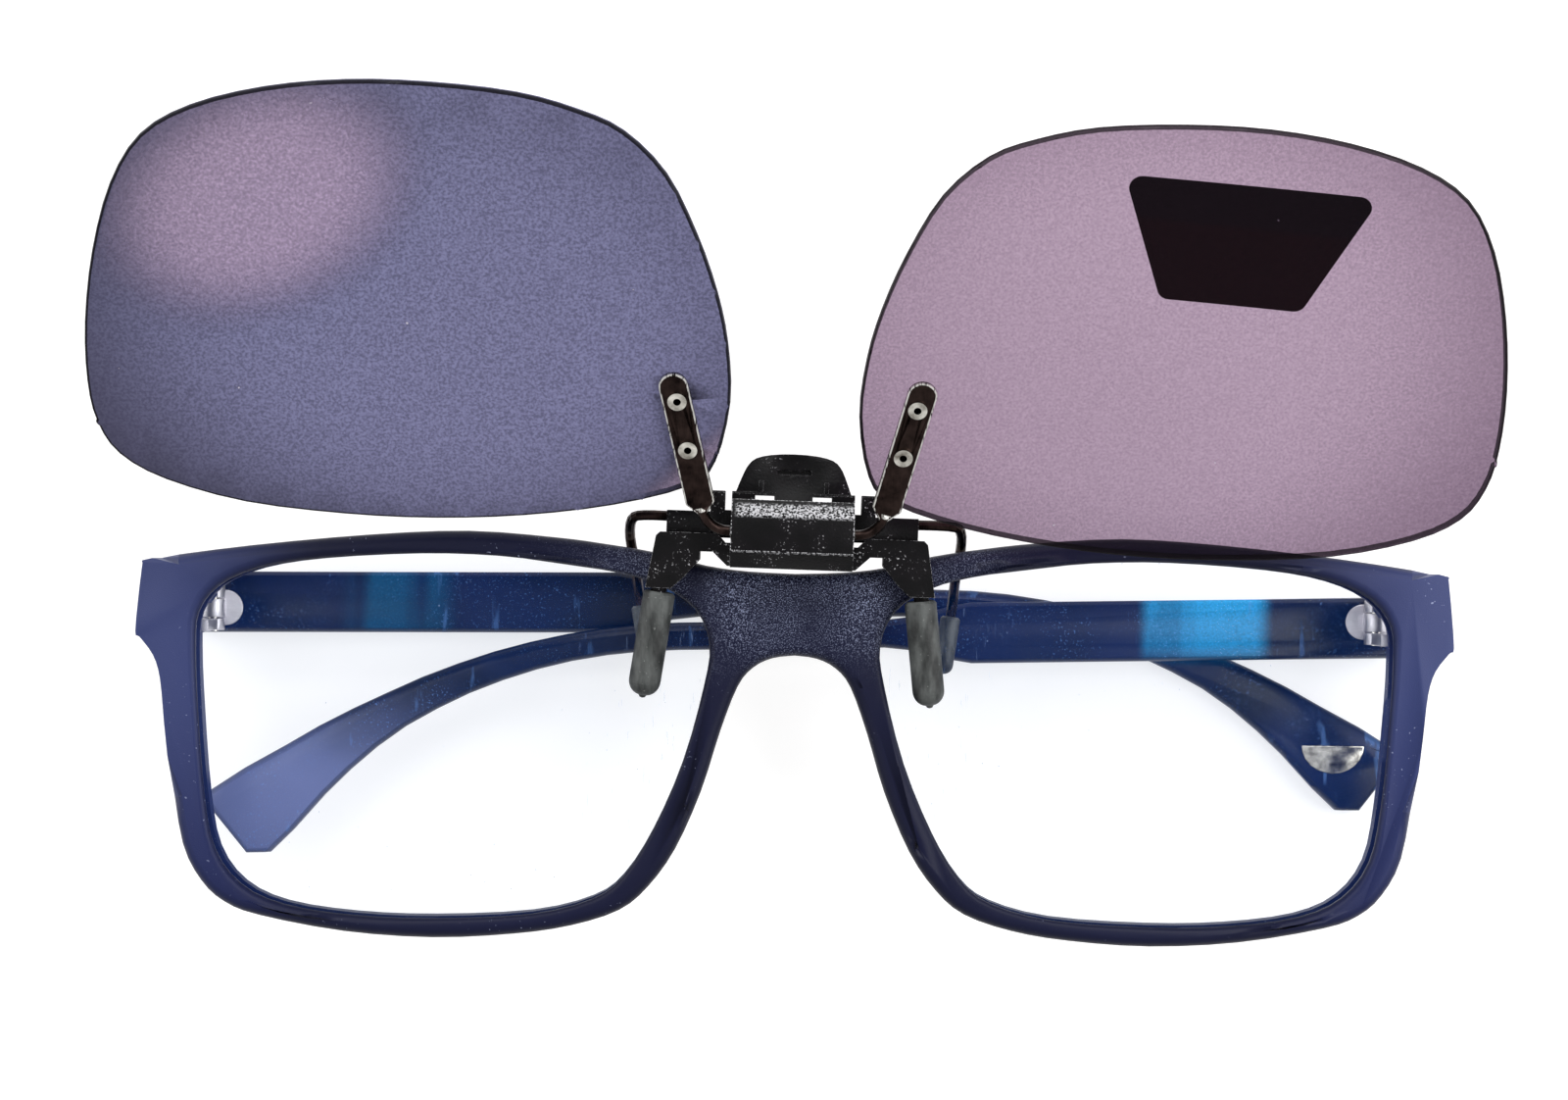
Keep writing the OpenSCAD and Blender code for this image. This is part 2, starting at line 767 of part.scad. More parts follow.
module sun_lens(side, inward, shift, tilt) {
  color(smoke)
    flip()
      on_side(side)
        difference() {
          intersection() {
            translate([arm_x - inward, shift, -12])
              translate(rivets[0] - [arm_x, 0])
                rotate(tilt)
                  translate([arm_x, 0] - rivets[0])
                    linear_extrude(30)
                      polygon(closed(sun_outline));
            sun_shell(0, sun_t);
          }
          for (p = rivets)
            translate([p[0], p[1], -3])
              cylinder(r = rivet_r + seat_gap, h = 6, $fn = 32);
        }
}

module lens_rivets(side) {
  color(steel)
    flip()
      on_side(side)
        for (p = rivets)
          translate([p[0], p[1], 0])
            difference() {
              union() {
                translate([0, 0, -sun_t - 0.25])
                  cylinder(r = rivet_r, h = sun_t + arm_t + 0.3, $fn = 32);
                translate([0, 0, arm_t])
                  cylinder(r = rivet_head, h = 0.2, $fn = 32);
                translate([0, 0, -sun_t - 0.35])
                  cylinder(r = rivet_head, h = 0.2, $fn = 32);
              }
              // blind hollow of the tubular end
              translate([0, 0, -0.3])
                cylinder(r = rivet_r - 0.2, h = 6, $fn = 32);
            }
}

// middle of the sticker from the foot of its arm, its widths, height and corner radius
sticker_at = [sun_w - 27.32, sun_h - 13.25];
sticker_w = 20.2;
sticker_foot = 11.9;
sticker_h = 10.2;
sticker_round = 1.2;

module lens_sticker() {
  color(black)
    flip()
      intersection() {
        translate([arm_x + sticker_at[0], sticker_at[1], -12])
          linear_extrude(30)
            offset(r = sticker_round, $fn = 32)
              rotate(-2)
                polygon([
                  [-sticker_w / 2, sticker_h / 2], [sticker_w / 2, sticker_h / 2],
                  [sticker_foot / 2, -sticker_h / 2], [-sticker_foot / 2, -sticker_h / 2]
                ]);
        sun_shell(sun_t + 0.02, sun_t + 0.1);
      }
}

// length of the jaw pin and height of the wire beside it
pin_len = block_w - 1.6;
wire_y = -0.25;

module jaw() {
  clip()
    translate([0, jaw_y, jaw_z])
      children();
}

// backward lean of the thumb pad and how far its face stands before the jaw pin
pad_lean = 8;
pad_face = 1;

// thumb pad and wire carrier, drawn from the jaw pin
module thumb_lever() {
  pad = [
    [-6.1, 2.2], [-5.75, 3.2], [-5.2, 4.6], [-4.75, 5.4], [-4, 6.05], [-2.4, 6.45], [0, 6.6],
    [2.4, 6.45], [4, 6.05], [4.75, 5.4], [5.2, 4.6], [5.75, 3.2], [6.1, 2.2]
  ];
  color(black)
    jaw()
      difference() {
        union() {
          // body behind the block
          rotate([90, 0, 90])
            linear_extrude(block_w + 4.7, center = true)
              polygon([
                [-2.3, -1.4], [-2.3, 0.9], [0.9, 1.1], [2.4, 1.1], [2.6, 0.9], [2.6, -1.0], [1.4, -1.4]
              ]);
          // side carriers that hold the wire
          for (s = [-1, 1])
            translate([s * (half_w + 4.4), -0.9, -0.15])
              cube([4.9, 2.6, 2.1], center = true);
          // thumb pad, leaning back towards the wearer, with two short ribs near its foot
          rotate([-pad_lean, 0, 0]) {
            translate([0, 0, pad_face - 1.9])
              linear_extrude(1.9)
                polygon(open(pad, 2));
            for (k = [-3.4, 3.4])
              translate([k, 3.1, pad_face])
                cube([0.45, 1.1, 0.5], center = true);
          }
        }
        rotate([-pad_lean, 0, 0]) {
          // shallow dish in the pad and the slit in it
          translate([0, 4.2, pad_face + 7.6])
            sphere(r = 8, $fn = 90);
          translate([0, 4.7, pad_face])
            cube([3.6, 0.5, 1.6], center = true);
        }
        // slots for the two lugs of the housing and the spring
        for (k = [-lug_x, lug_x])
          translate([k - lug_w / 2 - 0.2, -5, -3])
            cube([lug_w + 0.4, 5 + 2.25, 8]);
        translate([-1.7, -1.6, -3])
          cube([3.4, 3.2, 8]);
        rotate([0, 90, 0])
          cylinder(r = jaw_r + jaw_gap, h = pin_len + 0.1, center = true, $fn = 48);
        // gaps between the ears and the block
        for (s = [-1, 1])
          translate([s * (half_w + 0.5), 2.6, 1])
            cube([0.7, 4, 8], center = true);
        for (s = [-1, 1])
          on_side(s)
            rod([half_w + 2.75, wire_y, 0], [half_w + 10, wire_y, 0], wire_r, false);
      }
}

module jaw_pin() {
  color(steel)
    jaw()
      rotate([0, 90, 0])
        cylinder(r = jaw_r, h = pin_len, center = true, $fn = 48);
}

// one wire wound round the jaw pin, with a straight leg at each end
spring_turns = 3;
spring_pitch = 0.86;
spring_wire = 0.2;
spring_coil = jaw_r + 0.1 + spring_wire;
function spring_path() = concat(
  [[-spring_turns / 2 * spring_pitch, 1.3, -spring_coil]],
  [for (k = [0 : spring_turns * 12])
    [(k / 12 - spring_turns / 2) * spring_pitch, -spring_coil * sin(k * 30), -spring_coil * cos(k * 30)]],
  [[spring_turns / 2 * spring_pitch, -1.3, -spring_coil]]
);
// least gap between one turn of the spring and the next
spring_gap = min([
  for (p = spring_path(), q = spring_path())
    if (abs(p[0] - q[0]) > spring_pitch / 2) norm(p - q) - 2 * spring_wire
]);
echo(spring_gap = spring_gap);

module jaw_spring() {
  color(steel)
    jaw()
      tube(spring_path(), spring_wire, 6, [1, 0, 0]);
}

// path of the wire from its carrier round behind the rim, from the jaw pin
function wire_bend(out, lean) = [
  [half_w + 2.8, wire_y, 0], [half_w + 5.95, wire_y, 0], [out - 1.6, wire_y, 0],
  [out - 0.3, -0.7, -0.9], [out, -2.6, -3.6], [out - 3 * lean, -5.4, -4.4],
  [out - 5.4 * lean, -7.8, -3.1], [out - 6.6 * lean, -9, -2.6]
];
function wire_end(out, lean) = [out - 12.5 * lean, -14.9, -2.5];
function tip_start(out, lean) =
  let (a = wire_bend(out, lean)[7]) a + 0.12 * (wire_end(out, lean) - a);

module rear_wire(side, out, lean) {
  color(gun)
    jaw()
      on_side(side)
        tube(
          open(concat(wire_bend(out, lean), [tip_start(out, lean), wire_end(out, lean)])),
          wire_r, 10, [0, 0.35, -1]
        );
}

module rear_tip(side, out, lean) {
  a = tip_start(out, lean);
  b = wire_end(out, lean);
  color(rubber)
    jaw()
      on_side(side)
        difference() {
          sleeve(a, b, tip_r, 0.95, 0.1);
          rod(a - unit(b - a), b, wire_r, false);
        }
}

rear_lean_left = 0.2;
rear_lean_right = 0.12;

front_frame();
clear_lens(-1);  // lens_left
clear_lens(1);  // lens_right
hinge_leaf(-1);  // hinge_leaf_left
hinge_leaf(1);  // hinge_leaf_right
hinge_screw(-1);  // hinge_screw_left
hinge_screw(1);  // hinge_screw_right
temple_left();
temple(1, bend_right, lean_right, offset_right, rest_right);  // temple_right
temple_plate(-1, rest_left);  // temple_plate_left
temple_plate(1, rest_right);  // temple_plate_right
temple_inlay();
clip_housing();
clip_bracket();
front_sleeve(-1);  // front_sleeve_left
front_sleeve(1);  // front_sleeve_right
detent_spring();
flip_shaft();
flip_arm(-1);  // flip_arm_left
flip_arm(1);  // flip_arm_right
sun_lens(-1, 0, sun_left, tilt_left);  // sun_lens_left
sun_lens(1, sun_in, sun_right, tilt_right);  // sun_lens_right
lens_rivets(-1);  // lens_rivets_left
lens_rivets(1);  // lens_rivets_right
lens_sticker();
thumb_lever();
jaw_pin();
jaw_spring();
rear_wire(-1, rear_out_left, rear_lean_left);  // rear_wire_left
rear_wire(1, rear_out_right, rear_lean_right);  // rear_wire_right
rear_tip(-1, rear_out_left, rear_lean_left);  // rear_tip_left
rear_tip(1, rear_out_right, rear_lean_right);  // rear_tip_right
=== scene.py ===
# Plastic reading glasses, folded and lying face up on a pale table, with a raised sun clip.
import json
import math

import bpy
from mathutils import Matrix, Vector

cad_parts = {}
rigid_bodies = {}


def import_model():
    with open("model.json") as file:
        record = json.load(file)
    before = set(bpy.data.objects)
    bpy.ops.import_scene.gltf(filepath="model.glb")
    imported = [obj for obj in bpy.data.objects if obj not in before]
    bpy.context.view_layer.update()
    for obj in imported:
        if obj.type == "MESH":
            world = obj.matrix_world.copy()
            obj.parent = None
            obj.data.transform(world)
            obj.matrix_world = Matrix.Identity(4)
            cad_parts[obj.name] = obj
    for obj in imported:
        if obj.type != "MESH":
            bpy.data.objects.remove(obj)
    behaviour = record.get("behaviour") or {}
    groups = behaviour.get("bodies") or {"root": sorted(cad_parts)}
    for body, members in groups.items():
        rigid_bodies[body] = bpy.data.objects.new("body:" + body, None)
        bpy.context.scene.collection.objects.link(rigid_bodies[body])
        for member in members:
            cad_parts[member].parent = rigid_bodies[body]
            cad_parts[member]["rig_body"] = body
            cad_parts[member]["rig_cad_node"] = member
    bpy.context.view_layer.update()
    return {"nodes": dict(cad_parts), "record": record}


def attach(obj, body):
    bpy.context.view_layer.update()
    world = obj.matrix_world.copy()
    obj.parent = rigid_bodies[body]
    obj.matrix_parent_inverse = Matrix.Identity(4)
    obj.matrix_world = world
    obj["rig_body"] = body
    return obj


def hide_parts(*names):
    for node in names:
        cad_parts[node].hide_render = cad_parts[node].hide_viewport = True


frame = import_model()
NODES = frame["nodes"]
RECORD = frame["record"]
BODY = {node: body for body, group in RECORD["behaviour"]["bodies"].items() for node in group}
SLOT = {part["node"]: part["material_slot"] for part in RECORD["subparts"]}
MM = 0.001

# Beyond this the front ends in short edges, which the rounding of its upper face leaves alone.
LUG_X = 0.0655
# Pieces cut from plain sheet or strip, of which only the square edges are rounded.
PLAIN = ("sun_lens", "flip_arm")
# Corners of a CAD mesh closer than this are one corner, and so are those of a rounding.
SAME_CORNER = 2e-6
SAME_ROUNDED = 1e-6
# Faces that turn less than this belong to one flat face.
FLAT_TURN = math.radians(0.6)
# Edges that turn more than this are sharp, and beyond the second one square.
SHARP_TURN = math.radians(28)
SQUARE_TURN = math.radians(60)
# A sliver of less than this many square metres is no wall of a sheet.
SLIVER = 5e-9
# Steps of the wide rounding round an upper face, how far below the highest corner near by its
# edges may lie, and how near that is.
CROWN_STEPS = 4
CROWN_DROP = 0.0017
CROWN_NEAR = 0.004
# Least upward lean of an upper face, the most that its wall may have, and how much of a low wall
# the wide rounding may take.
TOP_LEAN = 0.8
WALL_LEAN = 0.6
WALL_SHARE = 0.7
# The mark on a wide rounding is this less the face's own upward lean, and 1 at most.
FADE_TOP = 1.15
# Corners within this of a rivet's first one are its own. Its hollow goes out to its nearest
# corner times the second.
RIVET_SPAN = 0.003
BORE_EASE = 1.1
# Half the width of the glasses, to which the front's colours are set out.
HALF_WIDTH = 0.07
# How far to each side the painted shade of the nose goes, and how far below the origin the rims
# reach.
NOSE_REACH = 0.03
RIM_DEPTH = 0.04
# How far below the origin the folded temples' lower edges and the blue reflections painted on them
# begin.
TEMPLE_LOW = 0.0135
REFLECTION_LOW = 0.013
# Where blue reflections are painted on the temples, each from its left end to its right one.
RIGHT_REFLECTION = (0.0385, 0.0515)
LEFT_REFLECTION = (-0.0485, -0.0385)
# Middles and half sizes of the raised tinted lenses and of the pale oval in the left one, where its
# painted reflection gives way.
LEFT_TINT = ((-0.0345, 0.0215), (0.034, 0.023))
RIGHT_TINT = ((0.0325, 0.0185), (0.036, 0.026))
PALE_OVAL = ((-0.0512, 0.0315), (0.0145, 0.0118))
# The oval's turn, and how many times narrower it is across its length.
OVAL_COS, OVAL_SIN = 0.82, 0.57
OVAL_SQUEEZE = 1.45
# The lip of the clip's block, where bright grains are painted as a highlight: its slope, its place,
# half its length and its height.
LIP_SLOPE = 0.0244
LIP_PLACE = (0.0024, 0.0037)
LIP_HALF = (0.0058, 0.0064)
LIP_HEIGHT = (0.024, 0.025)
# The band along the top of the sticker: its slope, where it is level, and where it begins.
BAND_SLOPE = 0.1
BAND_MIDDLE = 0.05
BAND_START = (0.0288, 0.0296)


def srgb(red, green, blue):
    """A colour given as it looks on a screen, 0 to 255, as the shader's own numbers."""
    def linear(level):
        level = level / 255
        return level / 12.92 if level <= 0.04045 else ((level + 0.055) / 1.055) ** 2.4
    return (linear(red), linear(green), linear(blue), 1.0)


class Value:
    """Something that varies over a surface. Python's arithmetic on it adds the Math nodes."""

    def __init__(self, paint, socket):
        self.paint = paint
        self.socket = socket

    def maths(self, operation, *terms):
        return self.paint.node("ShaderNodeMath", {"operation": operation}, dict(enumerate(terms)))

    def __add__(self, other):
        return self.maths("ADD", self, other)

    def __radd__(self, other):
        return self.maths("ADD", other, self)

    def __sub__(self, other):
        return self.maths("SUBTRACT", self, other)

    def __rsub__(self, other):
        return self.maths("SUBTRACT", other, self)

    def __mul__(self, other):
        return self.maths("MULTIPLY", self, other)

    def __truediv__(self, other):
        return self.maths("DIVIDE", self, other)

    def __abs__(self):
        return self.maths("ABSOLUTE", self)

    def most(self, other):
        return self.maths("MAXIMUM", self, other)

    def least(self, other):
        return self.maths("MINIMUM", self, other)

    def step(self, low, high):
        """0 below low, 1 above high and smooth between them."""
        sockets = {"Value": self, "From Min": low, "From Max": high}
        return self.paint.node("ShaderNodeMapRange", {"interpolation_type": "SMOOTHSTEP"}, sockets)

    def span(self, low, high, soft):
        """1 between low and high, fading to 0 within soft of them."""
        return self.step(low - soft, low + soft) * (1 - self.step(high - soft, high + soft))

    def out(self, name):
        """Another output of the same node."""
        return Value(self.paint, self.socket.node.outputs[name])


class Nodes:
    """A tree of nodes that is built up."""

    def __init__(self, tree):
        self.tree = tree
        tree.nodes.clear()

    def node(self, kind, settings=None, sockets=None, out=0):
        made = self.tree.nodes.new(kind)
        for name, setting in (settings or {}).items():
            setattr(made, name, setting)
        for name, value in (sockets or {}).items():
            if isinstance(value, Value):
                self.tree.links.new(value.socket, made.inputs[name])
            else:
                made.inputs[name].default_value = value
        return Value(self, made.outputs[out]) if len(made.outputs) else made

    def shown(self):
        """1 where the eye, a shiny thing or a clear one looks, and 0 where only light is gathered."""
        ray = self.node("ShaderNodeLightPath", out="Is Camera Ray")
        return ray.most(ray.out("Is Glossy Ray")).most(ray.out("Is Transmission Ray"))


class Paint(Nodes):
    """A material and the nodes it is made of."""

    def __init__(self, name):
        self.material = bpy.data.materials.new(name)
        self.material.use_nodes = True
        super().__init__(self.material.node_tree)
        self.place = self.node("ShaderNodeTexCoord", out="Object")
        split = self.node("ShaderNodeSeparateXYZ", sockets={"Vector": self.place})
        self.x, self.y, self.z = (split.out(axis) for axis in "XYZ")

    def noise(self, scale, detail=2.0, stretch=(1, 1, 1)):
        """Cloudy grain from 0 to 1; scale is in cells to the metre."""
        place = self.node("ShaderNodeMapping", sockets={"Vector": self.place, "Scale": stretch})
        sockets = {"Vector": place, "Scale": scale, "Detail": detail}
        return self.node("ShaderNodeTexNoise", None, sockets, "Fac")

    def specks(self, scale, size):
        """1 in small round specks, one to a cell, and 0 between them."""
        sockets = {"Vector": self.place, "Scale": scale}
        near = self.node("ShaderNodeTexVoronoi", None, sockets, "Distance")
        return 1 - near.step(size * 0.6, size)

    def mark(self, name):
        """A number that soften or eyelets wrote on the faces of a piece."""
        return self.node("ShaderNodeAttribute", {"attribute_name": name}, out="Fac")

    def mix(self, share, first, second):
        """The first colour where share is 0 and the second where it is 1."""
        return self.node("ShaderNodeMix", {"data_type": "RGBA"}, {0: share, 6: first, 7: second}, 2)

    def blend(self, share, first, second):
        """The first shader where share is 0 and the second where it is 1."""
        return self.node("ShaderNodeMixShader", None, {0: share, 1: first, 2: second})

    def bump(self, height, strength, depth):
        """A grain of this depth in metres, raised where height is 1."""
        sockets = {"Height": height, "Strength": strength, "Distance": depth}
        return self.node("ShaderNodeBump", None, sockets)

    def shell(self, **sockets):
        """The Principled shader, with each socket named by its own name in small letters."""
        named = {}
        for key, value in sockets.items():
            named[key.replace("_", " ").title().replace("Ior", "IOR")] = value
        return self.node("ShaderNodeBsdfPrincipled", None, named)

    def done(self, shader):
        self.node("ShaderNodeOutputMaterial", None, {"Surface": shader})
        return self.material


def navy_plastic():
    """Satin navy front, paler at the outer sides and corners by painted light and near black at the
    nose by painted shade, with painted glints.
    """
    p = Paint("navy_plastic")
    cloud = p.noise(60, 3)
    # painted light: the outer sides are paler and their upper corners palest, as if lit from the
    # sides
    side = (abs(p.x) / HALF_WIDTH).step(0.7, 0.97)
    high = (p.y + RIM_DEPTH).step(0.0, 0.032)
    # painted shade: near black round the nose, a little less so higher up
    nose = 1 - (abs(p.x) / NOSE_REACH).step(0.1, 1.0)
    colour = p.mix(side * 0.85 + cloud * 0.15, srgb(6, 9, 38), srgb(30, 39, 86))
    colour = p.mix(high * side * 0.55, colour, srgb(70, 80, 128))
    colour = p.mix(nose * (0.8 - high * 0.3), colour, srgb(5, 7, 32))
    # painted shade on the rounded edges, where they turn away from the light
    colour = p.mix(p.mark("edge") * 0.7, colour, srgb(9, 11, 32))
    grit = p.noise(8000, 3)
    dust = p.noise(3000, 2).step(0.7, 0.74) * p.noise(120).step(0.5, 0.7)
    # painted glints: fine bright grains about the bridge, mixed in with pale dust
    bright_grains = grit.step(0.52, 0.64) * nose * p.noise(110, 4).step(0.3, 0.66)
    bright_grains = bright_grains * (p.y + 0.016).step(0.0, 0.012)
    colour = p.mix((dust * 0.6 + bright_grains * 0.75).least(0.85), colour, srgb(190, 200, 236))
    rough = 0.34 + cloud * 0.12 + grit * 0.1
    return p.done(p.shell(
        base_color=colour,
        roughness=rough,
        normal=p.bump(grit, 0.35, 0.00006),
        specular_ior_level=0.18,
    ))


def temple_plastic():
    """Near black navy temples with painted blue reflections and sparkles, painted light on the left
    one's end and painted shade on the edges.
    """
    p = Paint("temple_plastic")
    cloud = p.noise(70, 3)
    pearl = p.noise(4200, 3)
    streak = p.noise(260, 2, (1, 0.12, 0.3))
    upper = (p.y + TEMPLE_LOW).step(0.0, 0.003)
    # painted reflection: streaky patches of bright blue over the upper part of the temples, stronger
    # on the right one
    right = p.x.span(*RIGHT_REFLECTION, 0.0012) * (0.55 + streak.step(0.35, 0.6) * 0.45)
    left = p.x.span(*LEFT_REFLECTION, 0.002) * 0.4 * streak.step(0.3, 0.6)
    fade = 0.75 + (p.y + REFLECTION_LOW).step(0.0, 0.008) * 0.25
    blue_reflection = (right + left * 0.45) * upper * fade
    # painted light: the end of the left temple is paler, as where it faces the light
    lit_tip = (-0.015 - p.y).step(0.0, 0.012) * (1 - p.x.step(-0.03, 0.0))
    colour = p.mix(cloud.step(0.3, 0.7), srgb(3, 5, 20), srgb(8, 26, 74))
    colour = p.mix((blue_reflection * (0.45 + pearl * 0.9)).least(1), colour, srgb(44, 184, 255))
    colour = p.mix(lit_tip * (0.45 + cloud * 0.4), colour, srgb(132, 142, 192))
    scuff = p.noise(420, 4, (1, 0.15, 1)).step(0.64, 0.7)
    # painted sparkle highlights where the pearl grain catches the light, in the same pale blue as the
    # scuffs
    spark = pearl.step(0.6, 0.7) * p.noise(160).step(0.45, 0.6)
    colour = p.mix((scuff * 0.3 + spark * 0.35).least(0.6), colour, srgb(110, 160, 235))
    # painted shade on the rounded edges, where they turn away from the light
    colour = p.mix(p.mark("edge") * 0.75, colour, srgb(5, 8, 28))
    return p.done(p.shell(
        base_color=colour,
        roughness=0.24 + cloud * 0.14 + scuff * 0.15,
        normal=p.bump(pearl, 0.2, 0.00005),
        specular_ior_level=0.22,
    ))


def clear_lens():
    """Thin clear lens; the blue reflection of its coating is painted in faintly, and it and fine
    scratches show only over dark things.
    """
    p = Paint("clear_lens")
    smear = p.noise(70, 4).step(0.55, 0.75)
    dust = p.specks(600, 0.06) * p.noise(90).step(0.45, 0.6)
    near = 1 - ((abs(p.x) - 0.012) / 0.02).step(0.1, 0.9)
    hair = p.noise(650, 3, (5, 0.5, 1)).step(0.68, 0.72) * near
    white = (smear * 0.3 + dust * 0.7 + hair * 0.6).least(1)
    # painted reflection: the coating's blue is a faint colour laid over the lens, paler where smear,
    # dust and hairline scratches are
    film = p.shell(
        base_color=p.mix(white, srgb(30, 120, 235), srgb(205, 228, 255)),
        roughness=0.03 + smear * 0.1,
        specular_ior_level=0.2,
    )
    glass = p.node("ShaderNodeBsdfTransparent", None, {"Color": (0.985, 0.993, 1.0, 1)})
    share = 0.02 + dust * 0.3 + smear * 0.015 + hair * 0.14
    return p.done(p.blend(share, glass, film))


def off_middle(p, middle, half):
    """How far out a point lies to the side and upward, as shares of half the size."""
    return (p.x - middle[0]) / half[0], (p.y - middle[1]) / half[1]


def sun_lens_grain(p, middle, half):
    """Distance from the middle towards the rim, and the fine speckle of a tinted lens."""
    across, along = off_middle(p, middle, half)
    rim = (across * across + along * along).step(0.15, 1.3)
    return rim, p.noise(3600, 2).step(0.3, 0.7)


def tint_left():
    """Tinted lens under a painted violet reflection, which thins out in a soft mauve oval and at a
    corner, with painted shade along its rim.
    """
    p = Paint("tint_left")
    rim, grain = sun_lens_grain(p, *LEFT_TINT)
    across, along = off_middle(p, *PALE_OVAL)
    lean = across * OVAL_COS + along * OVAL_SIN
    rise = (along * OVAL_COS - across * OVAL_SIN) * OVAL_SQUEEZE
    oval = 1 - (lean * lean + rise * rise).step(0.15, 1.9)
    corner = ((p.x + 0.024) * 50 - (p.y - 0.012) * 60).step(0.75, 1.0)
    edge = p.mark("edge")
    scuff = p.noise(900, 2).step(0.79, 0.81)
    # painted reflection: a violet sheet over the lens, darker towards the rim and in the grain, with
    # pale scuffs
    film = p.mix(rim, srgb(144, 144, 184), srgb(88, 87, 113))
    film = p.mix(grain * 0.6, film, srgb(66, 64, 88))
    film = p.mix(scuff, film, srgb(215, 210, 225))
    # painted shade along the rounded rim
    film = p.mix(edge * 0.95, film, srgb(8, 7, 12))
    share = 0.93 - oval * 0.72 - corner * 0.62 + grain * 0.05 + edge
    return tinted(p, film, share, (0.68, 0.59, 0.69, 1), (0.53, 0.46, 0.55, 1), grain)


def tint_right():
    """Tinted lens, clear mauve, a little darker towards its rim."""
    p = Paint("tint_right")
    rim, grain = sun_lens_grain(p, *RIGHT_TINT)
    edge = p.mark("edge")
    scuff = p.noise(900, 2).step(0.79, 0.81)
    # painted shade along the rounded rim, with pale scuffs
    film = p.mix(edge, srgb(205, 195, 210), srgb(12, 9, 12))
    share = 0.01 + scuff * 0.7 + edge * 0.85
    depth = rim * 0.7 + grain * 0.42
    return tinted(p, film, share, (0.61, 0.528, 0.606, 1), (0.42, 0.35, 0.42, 1), depth)


def tinted(p, film, share, pale, deep, depth):
    """A layer of colour, with painted reflection, painted shade and scuffs, that hides share of what
    lies below, over a see-through tint from pale to deep.
    """
    shell = p.shell(
        base_color=film,
        roughness=0.3 + p.noise(30, 2) * 0.1,
        specular_ior_level=0.12,
    )
    tints = [p.node("ShaderNodeBsdfTransparent", None, {"Color": tint}) for tint in (pale, deep)]
    return p.done(p.blend(share.most(0.0).least(0.98), p.blend(depth, *tints), shell))


def metal(name, dark, light, rough, scratch=(1, 1, 1), glint=None, mottle=250):
    """Bare or plated metal with fine draw marks and cloudy spots, and, with a glint, a highlight
    painted along its edges.
    """
    p = Paint(name)
    marks = p.noise(900, 4, scratch)
    cloud = p.noise(mottle, 3)
    colour = p.mix((cloud * 1.6 - 0.5 + marks * 0.4).most(0).least(1), dark, light)
    if glint:
        # painted highlight on the rounded edges, broken up by the draw marks
        colour = p.mix(p.mark("edge") * marks.step(0.35, 0.5), colour, glint)
    # painted shade inside the hollow of each rivet
    colour = p.mix(p.mark("bore"), colour, srgb(12, 11, 11))
    return p.done(p.shell(
        base_color=colour,
        metallic=1.0,
        roughness=rough + cloud * 0.12 + marks * 0.06,
        normal=p.bump(marks, 0.25, 0.00003),
    ))


def clip_plastic():
    """Black moulded plastic with a rough skin and small bright grains, which along its edges are
    partly wear and partly painted highlight.
    """
    p = Paint("clip_plastic")
    grain = p.noise(4200, 4)
    cloud = p.noise(300, 3)
    # bright grains on the edges and the block's lip, partly wear and partly painted highlight
    edge = p.mark("edge") * grain.step(0.44, 0.56)
    lip = (p.y + p.x * LIP_SLOPE).span(*LIP_PLACE, 0.0002) * (1 - abs(p.x).step(*LIP_HALF))
    lip = lip * p.z.step(*LIP_HEIGHT) * grain.step(0.44, 0.56)
    bright_grains = (grain.step(0.62, 0.68) * cloud.step(0.5, 0.62)).most(edge).most(lip)
    colour = p.mix(cloud.step(0.3, 0.7), srgb(2, 2, 3), srgb(14, 12, 15))
    colour = p.mix(bright_grains * 0.8, colour, srgb(214, 214, 218))
    return p.done(p.shell(
        base_color=colour,
        roughness=0.28 + grain * 0.2,
        normal=p.bump(grain, 0.5, 0.00008),
        specular_ior_level=0.12,
    ))


def sleeve_rubber():
    """Dark grey rubber with a dull sheen and pale dust."""
    p = Paint("sleeve_rubber")
    grain = p.noise(2600, 4)
    cloud = p.noise(450, 3, (2, 0.6, 1))
    colour = p.mix(cloud.step(0.3, 0.7), srgb(26, 28, 28), srgb(86, 89, 88))
    colour = p.mix(grain.step(0.68, 0.72) * 0.4, colour, srgb(165, 168, 165))
    return p.done(p.shell(
        base_color=colour,
        roughness=0.42 + grain * 0.2,
        normal=p.bump(grain, 0.5, 0.0001),
        specular_ior_level=0.3,
    ))


def sticker_film():
    """Bare dark brown film with a faint band along its top."""
    p = Paint("sticker_film")
    band = (p.y + (p.x - BAND_MIDDLE) * BAND_SLOPE).step(*BAND_START)
    colour = p.mix(band * 0.7 + p.noise(200, 2) * 0.25, srgb(58, 20, 22), srgb(40, 32, 36))
    return p.done(p.shell(
        base_color=colour,
        roughness=0.4 + p.noise(400) * 0.1,
        specular_ior_level=0.1,
    ))


def white_floor():
    """Pale table that looks white, also in gloss and through clear things, and keeps its shadow."""
    p = Paint("table_top")
    pale = p.mix(p.noise(14, 3), (0.44, 0.43, 0.42, 1), (0.47, 0.46, 0.45, 1))
    glow = p.mix(p.shown(), (0, 0, 0, 1), (0.76, 0.76, 0.76, 1))
    return p.done(p.shell(base_color=pale, roughness=0.8, emission_color=glow, emission_strength=1.0))


def set_off(target, name):
    """A copy of a CAD node, ready to be shaped; the node itself is left alone."""
    copy = target.copy()
    copy.data = target.data.copy()
    copy.name = name
    copy.parent = None
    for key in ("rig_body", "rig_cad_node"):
        if key in copy:
            del copy[key]
    bpy.context.scene.collection.objects.link(copy)
    return copy


